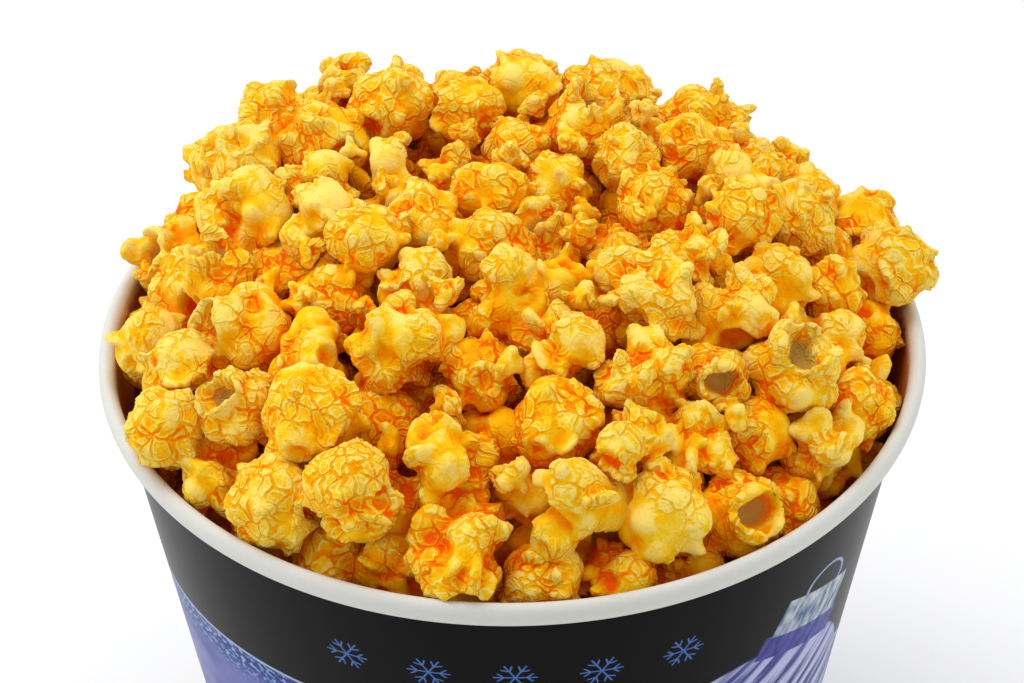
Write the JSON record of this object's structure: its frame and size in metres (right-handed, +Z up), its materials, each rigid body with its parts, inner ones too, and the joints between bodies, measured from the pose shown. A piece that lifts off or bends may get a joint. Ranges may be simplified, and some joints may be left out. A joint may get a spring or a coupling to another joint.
{
  "type": "bucket of popcorn",
  "caption": "Round tapered paper bucket with a rolled rim and a recessed base, heaped above its rim with cheese popcorn.",
  "frame": {"origin": "centre of the foot ring, on the surface that the bucket stands on", "axes": "+Z up through the middle of the rim; -Y towards the side that the heap shows best, where it is lowest"},
  "size_m": [0.2238, 0.222, 0.2535],
  "materials": {
    "printed_paperboard": "coated paperboard, printed near black with blue baubles, bare off-white rim",
    "plain_paperboard": "off-white, lightly coated",
    "cheese_popcorn": "crackled puffed corn dusted with orange cheese"
  },
  "bodies": {
    "root": {"wall": "printed_paperboard", "base": "plain_paperboard", "popcorn": "cheese_popcorn"}
  },
  "joints": []
}
